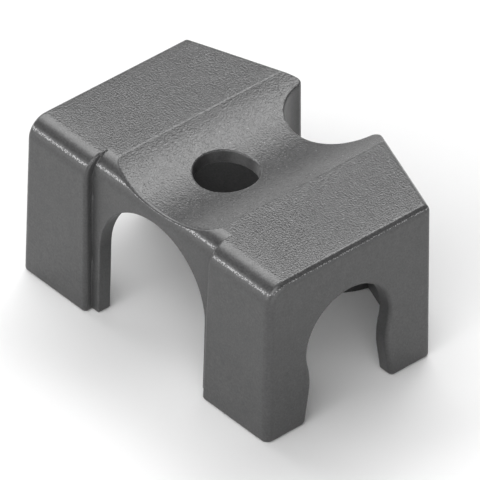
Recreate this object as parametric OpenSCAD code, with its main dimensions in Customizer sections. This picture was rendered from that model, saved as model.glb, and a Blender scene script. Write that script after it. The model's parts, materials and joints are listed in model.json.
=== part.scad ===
// Drip line pipe clip: a saddle clip moulded in one piece.
// It is a thin shell, open at the foot, that snaps over a drip pipe.
// A screw goes down through the valley in its top.
// X runs along the pipe, Y from the near side to the far side, Z up from the feet.

/* [Block] */
// Length along the pipe, at the foot
length = 21.9; // [18:0.1:28]
// Width of the two ends, at the foot
end_width = 12.8; // [11.5:0.1:14.6]
// Turn of the two slanted far walls, seen from above, in degrees
slant = 20; // [17:0.5:23]
// Height from the feet to the flat tops
height = 11.2; // [10.6:0.1:14]
// Draft of every upright wall, in degrees
draft = 0.95; // [0.3:0.05:1.5]

/* [Walls] */
// Thickness of the side and end walls
wall = 0.95; // [0.7:0.05:1.2]
// Thickness of the top, also under the valley
top_wall = 0.9; // [0.7:0.05:1.2]

/* [Rounding] */
// Radius of the long top edge of the near side
near_edge_r = 1.4; // [0.6:0.05:1.6]
// Radius of the other top edges
top_edge_r = 0.38; // [0.1:0.02:0.5]
// Radius of the upright corners
corner_r = 0.36; // [0.1:0.02:0.5]
// Radius of the foot's edges at the two mouths
foot_r = 0.2; // [0.05:0.01:0.3]

/* [Pipe seat] */
// Diameter of the pipe that the clip holds
pipe_d = 6.4; // [5:0.1:7]
// Height of the pipe's axis above the feet
pipe_z = 4.95; // [4.6:0.05:6]
// How far each snap lip reaches in past the pipe's side
lip_grip = 0.26; // [0.1:0.01:0.5]
// Radius of the rounded lips
lip_r = 5; // [3:0.1:6]
// Flare of the mouth below the lips, in degrees
mouth_flare = 9; // [4:0.5:14]

/* [Valley and screw hole] */
// Width of the valley between the two top lands
valley_width = 9; // [7:0.1:10]
// Depth of the valley at its middle
valley_depth = 0.78; // [0.4:0.02:1.2]
// Diameter of the screw hole
screw_d = 3.96; // [3:0.02:4.6]

/* [Near side] */
// Width of the recess, at the foot
recess_width = 10.42; // [10:0.02:12]
// Depth of the recess
recess_depth = 0.57; // [0.3:0.01:0.8]
// Radius of the recess's outer edges
recess_edge_r = 0.26; // [0.05:0.01:0.28]
// Width of the arch
arch_width = 9.3; // [8:0.1:9.8]
// Height of the bridge left between the arch and the valley
arch_bridge = 0.92; // [0.92:0.02:2]

/* [Far side] */
// Distance of the notch's axis from the near side's foot
notch_y = 15.15; // [14.9:0.05:15.8]
// Radius of the half-round notch, at the top
notch_r = 3.16; // [2.6:0.02:3.6]
// Radius of the rounded tips beside the notch, at the top
tip_r = 0.43; // [0.3:0.01:0.7]

/* [Hidden] */
$fn = 96;
// How far a cutting shape runs past the face that it cuts
past = 1;
// A hair's breadth, so that a rounding crosses the faces beside it and doesn't only touch them
hair = 0.004;
half_l = length / 2;
// The pipe and the screw hole share the middle of the ends' width
axis_y = end_width / 2;
// How far a drafted wall leans in for each unit of height
lean = tan(draft);
// Outward normals of the walls, the top and the foot
near_n = [0, -cos(draft), sin(draft)];
up_n = [0, 0, 1];
down_n = [0, 0, -1];
function end_n(side) = [side * cos(draft), 0, sin(draft)];
function slant_n(side) =
    [side * sin(slant) * cos(draft), cos(slant) * cos(draft), sin(draft)];
// The valley is part of a cylinder that runs along Y
valley_r = (pow(valley_width / 2, 2) + pow(valley_depth, 2)) / (2 * valley_depth);
valley_bottom = height - valley_depth;
// The lips' arcs touch the pipe seat from outside
pipe_r = pipe_d / 2;
lip_y = pipe_r - lip_grip + lip_r;
lip_z = pipe_z - sqrt(pow(pipe_r + lip_r, 2) - pow(lip_y, 2));
// Where each lip's arc passes into the pipe seat and into the mouth
seat_y = lip_y * pipe_r / (pipe_r + lip_r);
seat_z = pipe_z + (lip_z - pipe_z) * pipe_r / (pipe_r + lip_r);
mouth_y = lip_y - lip_r * cos(mouth_flare);
mouth_z = lip_z - lip_r * sin(mouth_flare);
// Half the width of the mouth at a height below the lips
function mouth_half(z) = mouth_y + (mouth_z - z) * tan(mouth_flare);

// Each tip's axis is upright. It stands as far from the notch as from the slanted wall,
// and as both lean alike, that holds at every height. tip_across and tip_along are its
// place along the slanted wall's outward normal and along the wall, from the notch's axis.
tip_foot_r = tip_r + height * lean;
tip_across = half_l * sin(slant) + (end_width - notch_y) * cos(slant) - tip_foot_r;
tip_along = sqrt(pow(notch_r + tip_r, 2) - pow(tip_across, 2));
tip_x = tip_across * sin(slant) + tip_along * cos(slant);
tip_y = notch_y + tip_across * cos(slant) - tip_along * sin(slant);
// The clip is deepest at the foot of its tips
depth = tip_y + tip_foot_r + hair;

// Everything beyond an upright wall that starts along the X axis and leans to -Y
module beyond_wall() {
    size = 4 * (length + depth);
    rotate([draft, 0, 0])
        translate([-size / 2, 0, -size / 2]) cube(size);
}

// Everything in front of the near wall moved in by t
module before_near_wall(t) {
    translate([0, t, 0]) rotate([0, 0, 180]) beyond_wall();
}

// The block between its drafted walls, each moved in by t
module drafted_block(t, foot, top) {
    difference() {
        translate([-half_l - past, -past, foot])
            cube([length + 2 * past, depth + 2 * past, top - foot]);
        before_near_wall(t);
        for (side = [-1, 1]) {
            translate([side * (half_l - t), 0, 0])
                rotate([0, 0, -90 * side]) beyond_wall();
            translate([side * half_l, end_width, 0])
                rotate([0, 0, -slant * side])
                    translate([0, -t, 0]) beyond_wall();
        }
    }
}

// The waste outside a rounded edge, seen along the edge.
// a and b are the directions that the two faces look in.
module edge_waste(r, a, b) {
    reach = r + past;
    tip = reach / cos((b - a) / 2);
    middle = (a + b) / 2;
    difference() {
        polygon([[0, 0], reach * [cos(a), sin(a)],
                 tip * [cos(middle), sin(middle)], reach * [cos(b), sin(b)]]);
        circle(r);
    }
}

// Rounds the edge that runs through point p between faces with normals m and n.
// It reaches a given way to either side of p, and less takes off one end.
module round_edge(p, m, n, r, reach) {
    along = cross(m, n) / norm(cross(m, n));
    tilt = acos(along[2]);
    turn = atan2(along[1], along[0]);
    // The two axes of the cross-section after the turn and the tilt
    u = [cos(turn) * cos(tilt), sin(turn) * cos(tilt), -sin(tilt)];
    v = [-sin(turn), cos(turn), 0];
    a = atan2(m * v, m * u);
    turned = atan2(n * v, n * u);
    b = turned < a ? turned + 360 : turned;
    centre = p - r * (m + n) / (1 + m * n);
    translate(centre) rotate([0, tilt, turn])
        linear_extrude(2 * reach, center = true) edge_waste(r, a, b);
}

// The long top edge of the near side, set back by step
module near_edge_waste(step) {
    round_edge([0, step + height * lean, height], near_n, up_n, near_edge_r, length);
}

// The top edges of the ends and of the slanted far walls
module top_edge_waste() {
    for (side = [-1, 1]) {
        top_x = side * (half_l - height * lean);
        round_edge([top_x, 0, height], end_n(side), up_n, top_edge_r, 2 * depth);
        round_edge([side * half_l, end_width, 0] + far_top_shift(side),
                   slant_n(side), up_n, top_edge_r, length);
    }
}

// From a slanted far wall's foot to its top edge
function far_top_shift(side) =
    [-side * sin(slant) * height * lean, -cos(slant) * height * lean, height];

// The four upright corners
module corner_waste() {
    for (side = [-1, 1]) {
        round_edge([side * half_l, 0, 0], near_n, end_n(side), corner_r, 2 * height);
        round_edge([side * half_l, end_width, 0], end_n(side), slant_n(side),
                   corner_r, 2 * height);
    }
}

// What the recess takes off the near side, or with t the same wall seen from inside
module recess(t) {
    half_w = recess_width / 2 + t;
    intersection() {
        translate([0, depth / 2, 0]) rotate([90, 0, 0])
            linear_extrude(depth, convexity = 2)
                polygon([[-half_w + past * lean, -past], [half_w - past * lean, -past],
                         [half_w + (height + past) * lean, height + past],
                         [-half_w - (height + past) * lean, height + past]]);
        union() {
            before_near_wall(recess_depth + t);
            if (t == 0) near_edge_waste(recess_depth);
        }
    }
}

// The rounding of the recess's two outer edges
module recess_edge_waste() {
    for (side = [-1, 1])
        round_edge([side * recess_width / 2, 0, 0],
                   near_n, [-side * cos(draft), 0, sin(draft)],
                   recess_edge_r, 2 * height);
}

// The valley in the top, or with t the same valley seen from inside
module valley(t) {
    translate([0, -past, valley_bottom + valley_r]) rotate([-90, 0, 0])
        cylinder(r = valley_r + t, h = depth + 2 * past, $fn = 240);
}

// The half-round notch in the far side, or with t the boss that it makes inside
module notch(t) {
    translate([0, notch_y, -past])
        cylinder(r1 = notch_r + t - (height + past) * lean,
                 r2 = notch_r + t + past * lean, h = height + 2 * past);
}

// The waste outside the rounded tips, between the slanted walls and the notch
module tip_waste() {
    // Directions from the tip's axis to the slanted wall and to the notch's axis
    to_wall = 90 - slant;
    to_notch = 180 + atan2(tip_y - notch_y, tip_x);
    middle = (to_wall + to_notch) / 2;
    // Each cut reaches nearly to the middle of the notch
    reach = notch_r;
    corner = reach / cos((to_notch - to_wall) / 2);
    for (side = [-1, 1])
        translate([side * tip_x, tip_y, -past])
            difference() {
                linear_extrude(height + 2 * past)
                    polygon([[0, 0], reach * [side * cos(to_wall), sin(to_wall)],
                             corner * [side * cos(middle), sin(middle)],
                             reach * [side * cos(to_notch), sin(to_notch)]]);
                cylinder(r1 = tip_foot_r + past * lean + hair,
                         r2 = tip_r - past * lean + hair, h = height + 2 * past);
            }
}

// The hollow under the top: the outer form again, moved in by the wall
module hollow() {
    difference() {
        drafted_block(wall, -past, height - top_wall);
        recess(wall);
        notch(wall);
        valley(top_wall);
    }
}

// The arch through the near side
module arch() {
    arch_r = arch_width / 2;
    depth = past + recess_depth + wall + height * lean;
    translate([0, depth - past, valley_bottom - arch_bridge - arch_r])
        rotate([90, 0, 0]) cylinder(r = arch_r, h = depth);
    translate([-arch_r, -past, -past])
        cube([arch_width, depth, valley_bottom - arch_bridge - arch_r + past]);
}

// The mouth below the pipe seat, seen along the pipe, narrowed by the two lips
module mouth_outline() {
    difference() {
        polygon([[-mouth_half(-past), -past], [mouth_half(-past), -past],
                 [mouth_y, mouth_z], [seat_y, seat_z],
                 [-seat_y, seat_z], [-mouth_y, mouth_z]]);
        for (side = [-1, 1])
            translate([side * lip_y, lip_z]) circle(lip_r, $fn = 180);
    }
}

// The pipe's way through both ends, with the mouth that it is pushed in by
module pipe_way() {
    run = length + 2 * past;
    translate([-run / 2, axis_y, pipe_z]) rotate([0, 90, 0])
        cylinder(r = pipe_r, h = run);
    translate([-run / 2, axis_y, 0]) rotate([90, 0, 90])
        linear_extrude(run, convexity = 4) mouth_outline();
    for (side = [-1, 1])
        round_edge([0, axis_y + side * mouth_half(0), 0], down_n,
                   [0, -side * cos(mouth_flare), -sin(mouth_flare)], foot_r, length);
}

// The hole for the screw, through the middle of the valley
module screw_hole() {
    translate([0, axis_y, height / 2]) cylinder(d = screw_d, h = height);
}

// The clip, with the origin under the middle of its outline
module pipe_clip() {
    color("dimgray")
        translate([0, -depth / 2, 0])
            difference() {
                drafted_block(0, 0, height);
                near_edge_waste(0);
                top_edge_waste();
                corner_waste();
                recess(0);
                recess_edge_waste();
                valley(0);
                notch(0);
                tip_waste();
                hollow();
                arch();
                pipe_way();
                screw_hole();
            }
}

pipe_clip();
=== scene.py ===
"""Looks of the drip line pipe clip: one moulding in grey plastic on a pale floor."""

import json
import math

import bpy
import numpy as np
from mathutils import Matrix, Vector


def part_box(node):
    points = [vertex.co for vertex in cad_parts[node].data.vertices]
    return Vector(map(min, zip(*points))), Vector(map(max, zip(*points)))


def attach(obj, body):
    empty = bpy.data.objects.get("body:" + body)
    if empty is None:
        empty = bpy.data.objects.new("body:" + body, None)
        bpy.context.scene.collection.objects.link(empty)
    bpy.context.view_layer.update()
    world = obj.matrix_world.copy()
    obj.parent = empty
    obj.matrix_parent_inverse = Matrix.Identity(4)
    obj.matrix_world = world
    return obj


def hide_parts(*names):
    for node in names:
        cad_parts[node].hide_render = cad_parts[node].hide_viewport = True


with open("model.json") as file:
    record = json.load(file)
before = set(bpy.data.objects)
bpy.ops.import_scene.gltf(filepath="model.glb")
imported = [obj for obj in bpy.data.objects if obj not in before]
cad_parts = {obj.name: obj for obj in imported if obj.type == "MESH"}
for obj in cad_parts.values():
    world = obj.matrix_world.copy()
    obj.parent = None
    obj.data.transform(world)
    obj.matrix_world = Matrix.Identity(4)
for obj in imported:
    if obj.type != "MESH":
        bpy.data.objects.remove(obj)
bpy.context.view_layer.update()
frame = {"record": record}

# Lengths in this script are in millimetres until a mesh, light or camera is made
MM = 0.001
NODE = "pipe_clip"

# The clip's overall sizes and its two round fits come from the frame
low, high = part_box(NODE)
LENGTH, DEPTH, HEIGHT = ((b - a) / MM for a, b in zip(low, high))
mounts = {mount["name"]: mount for mount in frame["record"]["mounts"]}
SEAT_R = mounts["pipe_seat"]["dims"]["r_mm"]
SEAT_Y, SEAT_Z = (mounts["pipe_seat"]["pos_m"][i] / MM for i in (1, 2))
SCREW_R = mounts["screw_hole"]["dims"]["r_mm"]

# The rest of the form, as in the part's source
HALF_LENGTH = LENGTH / 2
NEAR_Y = low[1] / MM
END_WIDTH = 2 * (SEAT_Y - NEAR_Y)
DRAFT = math.radians(0.95)
SLANT = math.radians(20)
WALL = 0.95
TOP_WALL = 0.9
NEAR_EDGE_R = 1.4
CORNER_R = 0.36
LIP_GRIP = 0.26
LIP_R = 5.0
MOUTH_FLARE = math.radians(9)
VALLEY_WIDTH = 9.0
VALLEY_DEPTH = 0.78
RECESS_WIDTH = 10.42
RECESS_DEPTH = 0.57
RECESS_EDGE_R = 0.26
ARCH_WIDTH = 9.3
ARCH_BRIDGE = 0.92
NOTCH_Y = NEAR_Y + 15.15
NOTCH_R = 3.16
TIP_R = 0.43

# Rounder here than in the solids: the top edge of the ends and the far side, the feet of the
# mouths, and by this much the tips, so that they stay inside the box of the solids
TOP_EDGE_R = 0.5
FOOT_R = 0.28
TIP_BLUNT = 0.035

# How far the top sinks towards its edges, as mouldings do, and over what distance
CROWN = 0.03
CROWN_REACH = 0.8

# The top breaks off at this angle into its outer rounding, with a small rounding at the
# break, which has faded out this far below the top
BREAK = math.radians(22)
BREAK_R = 0.08
BREAK_FADE = 0.8

# Small roundings of edges that the solids leave sharp. The rim of the valley gets rounder by
# this share of the valley's depth, up to its full rounding
MOUTH_EDGE_R = 0.24
VALLEY_RIM_R = 0.1
VALLEY_RIM_GROWTH = 0.3
HOLE_EDGE_R = 0.1
ARCH_EDGE_R = 0.09
CREASE_R = 0.17
FOOT_EDGE_R = 0.04
INNER_EDGE_R = 0.06

# The plastic: how pale and how rough it is on top and on the sides
TOP_LEVEL = 0.06
SIDE_LEVEL = 0.044
TOP_ROUGHNESS = 0.24
SIDE_ROUGHNESS = 0.4

# Its grain: features in a millimetre, depth in millimetres, and the share of it on the sides
GRAIN_SCALE = 8.4
GRAIN_DEPTH = 0.021
GRAIN_SIDES = 0.12
WAVE_SHARE = 0.5

# How much paler the specks in the grain are, and the painted highlights: on the crisp edges, and
# the glint along the parting line on the near side and on the ends
SPECK_LEVEL = 0.1
EDGE_HIGHLIGHT_LEVEL = 0.025
PARTING_GLINT_LEVEL = 0.3
END_PARTING_GLINT_LEVEL = PARTING_GLINT_LEVEL * 0.8

# How far up the surface faces where the halves meet and the painted glint runs, 0 on a wall and 1 on
# the top
PARTING_AND_GLINT_UP = 0.58

# Mesh: the spacing of the grid that the surface is found on, and about how many
# triangles stay once the flat stretches are thinned out
GRID = 0.08
TRIANGLES = 190_000

# The floor: how pale and how rough it is, and half its side in metres
FLOOR_LEVEL = 0.92
FLOOR_ROUGHNESS = 0.9
FLOOR_HALF = 2.0

VALLEY_R = ((VALLEY_WIDTH / 2) ** 2 + VALLEY_DEPTH**2) / (2 * VALLEY_DEPTH)
VALLEY_BOTTOM = HEIGHT - VALLEY_DEPTH
LEAN = math.tan(DRAFT)

# Cosines of the angles between faces that meet: wall and top, end and slanted wall,
# valley and top, slanted wall and notch
EDGE_TURN = math.sin(DRAFT)
CORNER_TURN = math.sin(SLANT)
CREASE_TURN = math.sqrt(1 - (VALLEY_WIDTH / 2 / VALLEY_R) ** 2)
TIP_ACROSS = (HALF_LENGTH * math.sin(SLANT) + (NEAR_Y + END_WIDTH - NOTCH_Y) * math.cos(SLANT)
              - TIP_R - HEIGHT * LEAN)
TIP_TURN = -TIP_ACROSS / (NOTCH_R + TIP_R)


def wall_distance(p, point, facing):
    """How far points lie outside a drafted wall through a point at the foot.

    facing is the direction that the wall looks in, seen from above, in radians."""
    x, y, z = p
    out = (x - point[0]) * math.cos(facing) + (y - point[1]) * math.sin(facing)
    return out * math.cos(DRAFT) + z * math.sin(DRAFT)


def rounded_max(a, b, radius, cos_turn=0.0):
    """What is inside both a and b, with the edge between them rounded.

    cos_turn is the cosine of the angle between the two faces' normals."""
    a = a + radius
    b = b + radius
    in_corner = (a > cos_turn * b) & (b > cos_turn * a)
    square = a * a + b * b - 2 * cos_turn * a * b
    corner = np.sqrt(np.maximum(square, 0) / (1 - cos_turn**2))
    return np.where(in_corner, corner, np.maximum(a, b)) - radius


def broken_max(a, b, radius):
    """As rounded_max, but the rounding breaks off from a at an angle and runs out into b."""
    raised = a - (1 - math.cos(BREAK)) * radius
    return rounded_max(a, rounded_max(raised, b, radius, EDGE_TURN), BREAK_R, math.cos(BREAK))


def mouth_distance(y, z):
    """How far points lie outside the pipe's way, seen along the pipe."""
    y = np.abs(y - SEAT_Y)
    lip_y = SEAT_R - LIP_GRIP + LIP_R
    drop = math.sqrt((SEAT_R + LIP_R) ** 2 - lip_y**2)
    lip_z = SEAT_Z - drop
    seat = np.hypot(y, z - SEAT_Z) - SEAT_R
    lip = LIP_R - np.hypot(y - lip_y, z - lip_z)
    flare_y = lip_y - LIP_R * math.cos(MOUTH_FLARE)
    flare_z = lip_z - LIP_R * math.sin(MOUTH_FLARE)
    flare = (y - flare_y) * math.cos(MOUTH_FLARE) + (z - flare_z) * math.sin(MOUTH_FLARE)
    above_seat_line = (z - SEAT_Z) * lip_y + y * drop > 0
    below_flare_line = (z - flare_z) * math.cos(MOUTH_FLARE) < (y - flare_y) * math.sin(MOUTH_FLARE)
    return np.where(above_seat_line, seat, np.where(below_flare_line, flare, lip))


def arch_distance(x, z):
    """How far points lie outside the arch, seen from the near side."""
    radius = ARCH_WIDTH / 2
    centre = VALLEY_BOTTOM - ARCH_BRIDGE - radius
    return np.where(z > centre, np.hypot(x, z - centre), np.abs(x)) - radius


def valley_distance(x, z):
    """How far points lie outside the cylinder that the valley is part of."""
    return np.hypot(x, z - VALLEY_BOTTOM - VALLEY_R) - VALLEY_R


def notch_distance(x, y, z):
    """How far points lie outside the drafted half-round notch."""
    radius = NOTCH_R - (HEIGHT - z) * LEAN
    return (np.hypot(x, y - NOTCH_Y) - radius) * math.cos(DRAFT)


def clip_distance(p):
    """How far points lie outside the clip, below zero inside its plastic.

    p holds the points' x, y and z arrays in the part's own frame."""
    x, y, z = p
    near = wall_distance(p, (0, NEAR_Y), -math.pi / 2)
    ends = []
    slants = []
    for side in (-1, 1):
        corner = (side * HALF_LENGTH, NEAR_Y + END_WIDTH)
        ends.append(wall_distance(p, corner, 0 if side > 0 else math.pi))
        slants.append(wall_distance(p, corner, math.pi / 2 - side * SLANT))
    end = np.maximum(*ends)
    slant = np.maximum(*slants)
    inward = np.maximum(-np.maximum(end, near + NEAR_EDGE_R), 0)
    top = z - HEIGHT + CROWN * np.exp(-inward / CROWN_REACH)
    notch = -notch_distance(x, y, z)
    valley = -valley_distance(x, z)

    # The near side with its long rounded edge, and the same again, set back, in the recess
    inner_near = near + RECESS_DEPTH
    front = rounded_max(near, top, NEAR_EDGE_R, EDGE_TURN)
    set_back = rounded_max(inner_near, top, NEAR_EDGE_R, EDGE_TURN)
    step = (RECESS_WIDTH / 2 + z * LEAN - np.abs(x)) * math.cos(DRAFT)
    step_edge = np.clip((set_back - front) * RECESS_EDGE_R / RECESS_DEPTH, 0, RECESS_EDGE_R)
    front = rounded_max(front, np.minimum(set_back, step), step_edge)

    # The ends, the slanted walls, and the notch between its two rounded tips
    far = rounded_max(slant, notch, TIP_R + TIP_BLUNT + (HEIGHT - z) * LEAN, TIP_TURN)
    back = rounded_max(end, far, CORNER_R, CORNER_TURN)
    on_wall = np.clip((front - top) / BREAK_FADE, 0, 1)
    broken = broken_max(front, back, TOP_EDGE_R)
    block = broken + (rounded_max(front, back, TOP_EDGE_R, EDGE_TURN) - broken) * on_wall

    # The valley, with soft creases against the two lands and crisp rims elsewhere
    lands = rounded_max(top, valley, CREASE_R, CREASE_TURN)
    rim_r = np.clip((lands - top) * VALLEY_RIM_GROWTH, 0, VALLEY_RIM_R)
    block = rounded_max(block, lands, rim_r)

    # The screw hole, the arch, and the mouths in the ends
    screw = SCREW_R - np.hypot(x, y - SEAT_Y)
    block = rounded_max(block, screw, HOLE_EDGE_R)
    behind_near = y - NEAR_Y - (RECESS_DEPTH + WALL + HEIGHT * LEAN)
    arch = np.minimum(-arch_distance(x, z), -behind_near)
    block = rounded_max(block, arch, ARCH_EDGE_R)
    mouth = rounded_max(-mouth_distance(y, z), -z, FOOT_R, -math.sin(MOUTH_FLARE))
    block = rounded_max(block, mouth, MOUTH_EDGE_R)
    block = rounded_max(block, -z, FOOT_EDGE_R)

    # The hollow: every outer face again, one wall further in
    room = np.maximum.reduce([near, end, slant]) + WALL
    room = np.maximum(room, top + TOP_WALL)
    room = np.maximum(room, np.minimum(inner_near, step) + WALL)
    room = np.maximum(room, valley + TOP_WALL)
    room = np.maximum(room, notch + WALL)
    return rounded_max(block, -room, INNER_EDGE_R)


def gradient(points, step=0.004):
    """The outward normals at points, an array of N by 3."""
    sides = []
    for axis in range(3):
        shift = np.zeros(3)
        shift[axis] = step
        ahead = clip_distance((points + shift).T)
        behind = clip_distance((points - shift).T)
        sides.append(ahead - behind)
    normals = np.stack(sides, axis=1)
    return normals / np.maximum(np.linalg.norm(normals, axis=1, keepdims=True), 1e-9)


def sample_grid(spacing):
    """Grid corners round the clip, and the distance at each that is near its surface."""
    margin = 2 * spacing
    starts = [-HALF_LENGTH - margin, NEAR_Y - margin, -margin]
    counts = [int((size + 2 * margin) / spacing) + 2 for size in (LENGTH, DEPTH, HEIGHT)]
    axes = [start + spacing * np.arange(count) for start, count in zip(starts, counts)]
    block = 6
    reach = spacing * block * math.sqrt(3)
    distance = np.empty(counts, np.float32)
    for i in range(0, counts[0], block):
        for j in range(0, counts[1], block):
            part = (slice(i, i + block), slice(j, j + block))
            column_z = axes[2][block // 2 :: block]
            middle = [axes[0][min(i + block // 2, counts[0] - 1)],
                      axes[1][min(j + block // 2, counts[1] - 1)]]
            coarse = clip_distance([np.full_like(column_z, middle[0]),
                                    np.full_like(column_z, middle[1]), column_z])
            levels = np.repeat(coarse, block)
            levels = np.pad(levels, (0, max(0, counts[2] - len(levels))), mode="edge")[: counts[2]]
            near_surface = np.abs(levels) < reach
            distance[part] = levels
            if near_surface.any():
                x, y, z = np.meshgrid(axes[0][part[0]], axes[1][part[1]],
                                      axes[2][near_surface], indexing="ij")
                distance[part][:, :, near_surface] = clip_distance((x, y, z))
    return starts, distance


EDGES = [(a, b) for a in range(8) for b in range(a + 1, 8) if bin(a ^ b).count("1") == 1]


def corner_shift(corner):
    """The offset of one of a cell's eight corners, as three zeros and ones."""
    return np.array([corner & 1, corner >> 1 & 1, corner >> 2 & 1])


def corner_values(values, corner):
    """A grid's values at one of the eight corners of each of its cells."""
    starts = corner_shift(corner)
    return values[tuple(slice(s, s + n - 1) for s, n in zip(starts, values.shape))]


def fit_points(base, levels, start, spacing):
    """The point in each crossed cell that fits the surface's facings at its edges best.

    base holds the cells' grid places, levels the distances at their eight corners."""
    total = np.zeros((len(base), 3))
    normal_square = np.zeros((len(base), 3, 3))
    normal_place = np.zeros((len(base), 3))
    count = np.zeros(len(base))
    for a, b in EDGES:
        cut = (levels[:, a] < 0) != (levels[:, b] < 0)
        share = levels[cut, a] / (levels[cut, a] - levels[cut, b])
        step = corner_shift(b) - corner_shift(a)
        place = base[cut] + corner_shift(a) + share[:, None] * step
        normal = gradient(start + spacing * place)
        local = place - base[cut]
        total[cut] += local
        count[cut] += 1
        normal_square[cut] += normal[:, :, None] * normal[:, None, :]
        normal_place[cut] += normal * (normal * local).sum(1)[:, None]
    middle = total / count[:, None]

    # A light pull to the middle settles the point where the facings leave it free
    hold = 0.05
    matrix = normal_square + hold * np.eye(3)
    target = normal_place + hold * middle
    local = np.linalg.solve(matrix, target[:, :, None])[:, :, 0]
    points = start + spacing * (base + np.clip(local, 0, 1))
    for _ in range(2):
        points -= gradient(points) * clip_distance(points.T)[:, None]
    return points


def join_quads(inside, index):
    """A quad round each grid edge that the surface crosses, from the points' numbers by cell."""
    quads = []
    for axis in range(3):
        others = [i for i in range(3) if i != axis]
        first = inside[tuple(slice(0, -1) if i == axis else slice(1, -1) for i in range(3))]
        second = inside[tuple(slice(1, None) if i == axis else slice(1, -1) for i in range(3))]
        for leaves in (True, False):
            cut = (first & ~second) if leaves else (~first & second)
            place = np.argwhere(cut)
            ring = []
            for du, dv in ((0, 0), (1, 0), (1, 1), (0, 1)):
                cell = place.copy()
                cell[:, others[0]] += du
                cell[:, others[1]] += dv
                ring.append(index[tuple(cell.T)])
            ring = np.stack(ring, axis=1)
            flip = leaves == (axis == 1)
            quads.append(ring[:, ::-1] if flip else ring)
    return np.concatenate(quads)


def find_surface(spacing):
    """The clip's surface as points and quads, one point in each cell that it crosses."""
    starts, distance = sample_grid(spacing)
    inside = distance < 0
    first = corner_values(inside, 0)
    crossed = np.zeros(first.shape, bool)
    for corner in range(1, 8):
        crossed |= corner_values(inside, corner) != first
    index = np.full(crossed.shape, -1, np.int32)
    index[crossed] = np.arange(crossed.sum())
    levels = np.stack([corner_values(distance, c)[crossed] for c in range(8)], axis=1)
    points = fit_points(np.argwhere(crossed), levels, np.array(starts), spacing)
    return points, join_quads(inside, index)


def mesh_object(name, points, faces):
    """A new mesh object in metres from points in millimetres."""
    mesh = bpy.data.meshes.new(name)
    mesh.vertices.add(len(points))
    mesh.vertices.foreach_set("co", (points * MM).astype(np.float32).ravel())
    mesh.loops.add(faces.size)
    mesh.loops.foreach_set("vertex_index", faces.astype(np.int32).ravel())
    mesh.polygons.add(len(faces))
    mesh.polygons.foreach_set("loop_start", np.arange(0, faces.size, 4, dtype=np.int32))
    mesh.update(calc_edges=True)
    mesh.validate()
    made = bpy.data.objects.new(name, mesh)
    bpy.context.scene.collection.objects.link(made)
    return made


def apply_modifiers(target):
    """Turns what an object's modifiers make into its own mesh."""
    graph = bpy.context.evaluated_depsgraph_get()
    made = bpy.data.meshes.new_from_object(target.evaluated_get(graph))
    target.modifiers.clear()
    target.data = made


def vertex_places(mesh):
    """A mesh's vertices in millimetres, as an array of N by 3."""
    places = np.empty(len(mesh.vertices) * 3, np.float32)
    mesh.vertices.foreach_get("co", places)
    return places.reshape(-1, 3).astype(float) / MM


def thin_flats(target, wanted):
    """Takes triangles out of the flat stretches until about the wanted number is left."""
    places = vertex_places(target.data)
    facing = gradient(places)
    bend = np.zeros(len(places))
    reach = 0.25
    gain = 40
    for direction in ((1, 0, 0), (0, 1, 0), (0, 0, 1)):
        for sign in (-reach, reach):
            near_by = places + sign * np.array(direction)
            near_by -= facing * clip_distance(near_by.T)[:, None]
            bend = np.maximum(bend, 1 - (gradient(near_by) * facing).sum(1))
    weight = np.clip(bend * gain, 0, 1)
    group = target.vertex_groups.new(name="keep")
    for level in range(1, 11):
        members = np.flatnonzero(np.ceil(weight * 10) == level)
        group.add(members.tolist(), level / 10, "REPLACE")
    thin = target.modifiers.new("thin", "DECIMATE")
    thin.ratio = min(1.0, wanted / (2 * len(target.data.polygons)))
    thin.vertex_group = group.name
    thin.invert_vertex_group = True
    thin.vertex_group_factor = 4
    apply_modifiers(target)


def set_normals(mesh):
    """Gives each vertex the form's own facing, so that flats shade as flats."""
    mesh.polygons.foreach_set("use_smooth", np.ones(len(mesh.polygons), bool))
    mesh.normals_split_custom_set_from_vertices(gradient(vertex_places(mesh)).tolist())


def mark_edges(mesh):
    """Stores how sharply the surface bends outwards, from 0 where soft to 1 on crisp edges."""
    places = vertex_places(mesh)
    step = 0.05
    soft, crisp = 4, 12
    bend = -6 * clip_distance(places.T)
    for axis in range(3):
        for shift in (-step, step):
            near_by = places.copy()
            near_by[:, axis] += shift
            bend += clip_distance(near_by.T)
    bend = np.clip((bend / step**2 - soft) / (crisp - soft), 0, 1)
    mesh.attributes.new("edge", "FLOAT", "POINT").data.foreach_set("value", bend.astype(np.float32))


def make_clip():
    """The clip's moulding, with its edges rounded as the real one's."""
    points, quads = find_surface(GRID)
    clip = mesh_object("clip_moulding", points, quads)
    thin_flats(clip, TRIANGLES)
    set_normals(clip.data)
    mark_edges(clip.data)
    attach(clip, "root")
    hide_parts(NODE)
    return clip


class Nodes:
    """Short calls that add nodes to one material or world and join them."""

    def __init__(self, tree):
        self.tree = tree
        tree.nodes.clear()

    def add(self, kind, inputs=None, **settings):
        node = self.tree.nodes.new(kind)
        for name, value in settings.items():
            setattr(node, name, value)
        for name, value in (inputs or {}).items():
            socket = node.inputs[name]
            if isinstance(value, bpy.types.NodeSocket):
                self.tree.links.new(value, socket)
            else:
                socket.default_value = value
        return node

    def math(self, operation, a, b=0.0, c=0.0, clamp=False):
        node = self.add("ShaderNodeMath", {0: a, 1: b, 2: c}, operation=operation)
        node.use_clamp = clamp
        return node.outputs[0]

    def noise(self, where, scale, detail=2.0, roughness=0.5):
        node = self.add("ShaderNodeTexNoise", {"Vector": where, "Scale": scale,
                                               "Detail": detail, "Roughness": roughness})
        return node.outputs["Fac"]

    def ramp(self, value, low, high, bottom=0.0, top=1.0):
        node = self.add("ShaderNodeMapRange", {"Value": value, "From Min": low, "From Max": high,
                                               "To Min": bottom, "To Max": top})
        return node.outputs["Result"]

    def band(self, value, middle, reach):
        """One at the middle value, falling to nothing at the reach to either side."""
        off = self.math("ABSOLUTE", self.math("SUBTRACT", value, middle))
        return self.math("MULTIPLY", self.math("SUBTRACT", 1.0, self.math("DIVIDE", off, reach)),
                         2.0, clamp=True)


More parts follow.
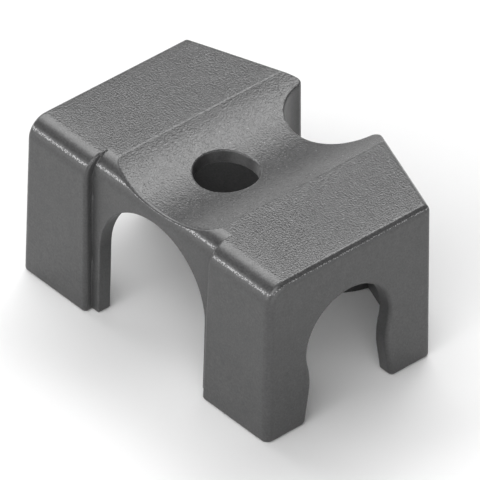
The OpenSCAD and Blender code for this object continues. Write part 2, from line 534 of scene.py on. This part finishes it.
def painted_parting_glint(n, where, off, sideways, reach, gaps):
    """A painted highlight: the fine broken pale line standing for the glint where the mould's grained
    half meets its smooth half.

    off is how far the facing is from where the halves meet, sideways tells the wall that
    the line runs along, reach how thick it is, and gaps how much of it is missing."""
    line = n.band(off, 0.0, reach)
    there = n.ramp(sideways, 0.55, 0.7)
    crumbs = n.ramp(n.noise(where, 13.0, 1.0, 0.5), gaps, gaps + 0.12)
    return n.math("MULTIPLY", n.math("MULTIPLY", line, there), crumbs)


def add_painted_parting_glints(n, level, where, off, beside, across):
    """The plastic's level with the painted glint lines along the near side and along the ends."""
    near_glint = painted_parting_glint(n, where, off, beside, 0.06, 0.46)
    end_glint = painted_parting_glint(n, where, n.math("ADD", off, 0.03), across, 0.09, 0.5)
    level = n.math("MULTIPLY_ADD", near_glint, PARTING_GLINT_LEVEL, level)
    return n.math("MULTIPLY_ADD", end_glint, END_PARTING_GLINT_LEVEL, level)


def grain_strength(n, up, beside):
    """How strong the spark-eroded grain is: full on what faces up, faint on the sides."""
    grained = n.math("MULTIPLY", n.ramp(up, 0.8, 0.93), n.ramp(beside, 0.05, 0.3, 1.0, 0.3))
    return n.math("MAXIMUM", grained, GRAIN_SIDES)


def grain_bump(n, where, grain, grained):
    """The surface's facing with the grain, and with a faint unevenness all over."""
    waves = n.noise(where, 0.7, 2.0, 0.5)
    uneven = n.math("MULTIPLY_ADD", waves, WAVE_SHARE, n.math("MULTIPLY", grain, grained))
    bump = n.add("ShaderNodeBump", {"Height": uneven, "Strength": 1.0, "Distance": GRAIN_DEPTH * MM})
    return bump.outputs[0]


def plastic_level(n, where, on_top, grain, grained):
    """How pale the plastic is: clouds of tone, pale specks in the grain, and a painted highlight on the
    crisp edges.
    """
    clouds = n.ramp(n.noise(where, 1.1, 5.0, 0.7), 0.3, 0.7, 0.9, 1.1)
    mottle = n.math("MULTIPLY", clouds, n.ramp(grain, 0.2, 0.8, 0.7, 1.3))
    level = n.math("MULTIPLY", n.ramp(on_top, 0.0, 1.0, SIDE_LEVEL, TOP_LEVEL), mottle)
    specks = n.ramp(n.noise(where, 6.0, 0.0, 0.5), 0.79, 0.83, 0.0, SPECK_LEVEL)
    level = n.math("MULTIPLY_ADD", specks, grained, level)
    # Painted highlight: the crisp outward edges are made paler, in patches
    edge = n.add("ShaderNodeAttribute", attribute_name="edge").outputs["Fac"]
    edge_highlight = n.ramp(n.noise(where, 2.5, 3.0, 0.6), 0.35, 0.65, 0.0, EDGE_HIGHLIGHT_LEVEL)
    return n.math("MULTIPLY_ADD", edge, edge_highlight, level)


def make_plastic():
    """Grey moulded plastic: grained glossier top, smoother duller sides, and painted highlights on the
    crisp edges and along the parting line.
    """
    material = bpy.data.materials.new("grey_plastic")
    material.use_nodes = True
    n = Nodes(material.node_tree)
    place = n.add("ShaderNodeTexCoord").outputs["Object"]
    where = n.add("ShaderNodeVectorMath", {0: place, "Scale": 1 / MM}, operation="SCALE").outputs[0]
    normal = n.add("ShaderNodeNewGeometry").outputs["Normal"]
    facing = n.add("ShaderNodeSeparateXYZ", {"Vector": normal})
    up = facing.outputs["Z"]
    beside = n.math("MULTIPLY", facing.outputs["Y"], -1.0)
    across = n.math("ABSOLUTE", facing.outputs["X"])

    # The two halves of the mould meet raggedly, part way down the rounded top edges, where the painted
    # glint runs
    ragged = n.math("MULTIPLY_ADD", n.noise(where, 5.0, 4.0, 0.8), 0.16, PARTING_AND_GLINT_UP - 0.08)
    off = n.math("SUBTRACT", up, ragged)
    on_top = n.ramp(off, -0.04, 0.04)

    grain = n.noise(where, GRAIN_SCALE, 1.0, 0.5)
    grained = grain_strength(n, up, beside)
    level = plastic_level(n, where, on_top, grain, grained)
    # Painted highlight: paler colour in a broken line where the glint falls along the parting line
    level = add_painted_parting_glints(n, level, where, off, beside, across)
    colour = n.add("ShaderNodeCombineColor", {"Red": level, "Green": level,
                                              "Blue": n.math("MULTIPLY", level, 1.01)})
    polish = n.ramp(n.noise(where, 2.3, 2.0, 0.5), 0.3, 0.7, -0.025, 0.025)
    roughness = n.math("ADD", n.ramp(on_top, 0.0, 1.0, SIDE_ROUGHNESS, TOP_ROUGHNESS), polish)
    bump = grain_bump(n, where, grain, grained)
    shader = n.add("ShaderNodeBsdfPrincipled", {"Base Color": colour.outputs[0], "IOR": 1.5,
                                                "Roughness": roughness, "Normal": bump})
    n.add("ShaderNodeOutputMaterial", {"Surface": shader.outputs[0]})
    return material


def make_floor():
    """A plain pale floor under the clip."""
    material = bpy.data.materials.new("pale_floor")
    material.use_nodes = True
    shader = material.node_tree.nodes["Principled BSDF"]
    shader.inputs["Base Color"].default_value = (FLOOR_LEVEL, FLOOR_LEVEL, FLOOR_LEVEL, 1)
    shader.inputs["Roughness"].default_value = FLOOR_ROUGHNESS
    shader.inputs["Specular IOR Level"].default_value = 0.0
    half = FLOOR_HALF
    mesh = bpy.data.meshes.new("floor")
    mesh.from_pydata([(-half, -half, 0), (half, -half, 0), (half, half, 0), (-half, half, 0)],
                     [], [(0, 1, 2, 3)])
    mesh.materials.append(material)
    floor = bpy.data.objects.new("floor", mesh)
    bpy.context.scene.collection.objects.link(floor)


def make_camera():
    """The photograph's camera: a very long lens, well back, a little rolled."""
    turn = math.radians(47.98)
    rise = math.radians(38.079)
    roll = math.radians(0.965)
    focal_px = 8500
    frame_px = 480
    back = 498.9
    aim_right = 5.636
    aim_up = 6.872
    half_px = 0.5 * back / focal_px
    right = Vector((math.cos(turn), math.sin(turn), 0))
    ahead = Vector((-math.sin(turn) * math.cos(rise), math.cos(turn) * math.cos(rise), -math.sin(rise)))
    up = right.cross(ahead)
    across = right * math.cos(roll) + up * math.sin(roll)
    upright = up * math.cos(roll) - right * math.sin(roll)
    place = aim_right * right + aim_up * up - back * ahead + Vector((0, NEAR_Y, 0))
    place += half_px * (upright - across)
    data = bpy.data.cameras.new("camera")
    data.sensor_width = 36
    data.lens = focal_px / frame_px * data.sensor_width
    data.clip_start = 0.05
    camera = bpy.data.objects.new("camera", data)
    camera.matrix_world = Matrix.Translation(place * MM) @ Matrix(
        (across, upright, -ahead)).transposed().to_4x4()
    bpy.context.scene.collection.objects.link(camera)
    bpy.context.scene.camera = camera


def make_studio():
    """Plain soft light: dim walls with a few soft bright patches, as of large diffusers.

    Each patch has the bearing of its middle from +X, its elevation, how far it reaches
    to either side and up and down, all in degrees, and its brightness."""
    patches = [
        ("back_box", 150, 50.3, 60, 13, 7.6),
        ("back_right", 112, 57, 28, 12, 2.8),
        ("low_behind", 140, 11, 60, 14, 1.85),
        ("left_front", 252, 15, 40, 15, 5.6),
        ("right_low", 355, 5, 50, 12, 5.7),
        ("front_top", 298, 50, 50, 25, 3.9),
    ]
    world = bpy.data.worlds.new("studio")
    bpy.context.scene.world = world
    world.use_nodes = True
    n = Nodes(world.node_tree)
    direction = n.add("ShaderNodeTexCoord").outputs["Generated"]
    part = n.add("ShaderNodeSeparateXYZ", {"Vector": direction})
    bearing = n.math("ARCTAN2", part.outputs["Y"], part.outputs["X"])
    elevation = n.math("ARCSINE", part.outputs["Z"])
    level = 0.0
    for _, turn, rise, reach_round, reach_up, brightness in patches:
        away = n.math("WRAP", n.math("SUBTRACT", bearing, math.radians(turn)), math.pi, -math.pi)
        across = n.band(away, 0.0, math.radians(reach_round))
        along = n.band(elevation, math.radians(rise), math.radians(reach_up))
        patch = n.math("MULTIPLY", across, along)
        level = n.math("MULTIPLY_ADD", patch, brightness, level)
    light = n.add("ShaderNodeBackground", {"Strength": level})
    n.add("ShaderNodeOutputWorld", {"Surface": light.outputs[0]})


scene = bpy.context.scene
scene.view_settings.view_transform = "Standard"
make_camera()
clip = make_clip()
clip.data.materials.append(make_plastic())
make_floor()
make_studio()
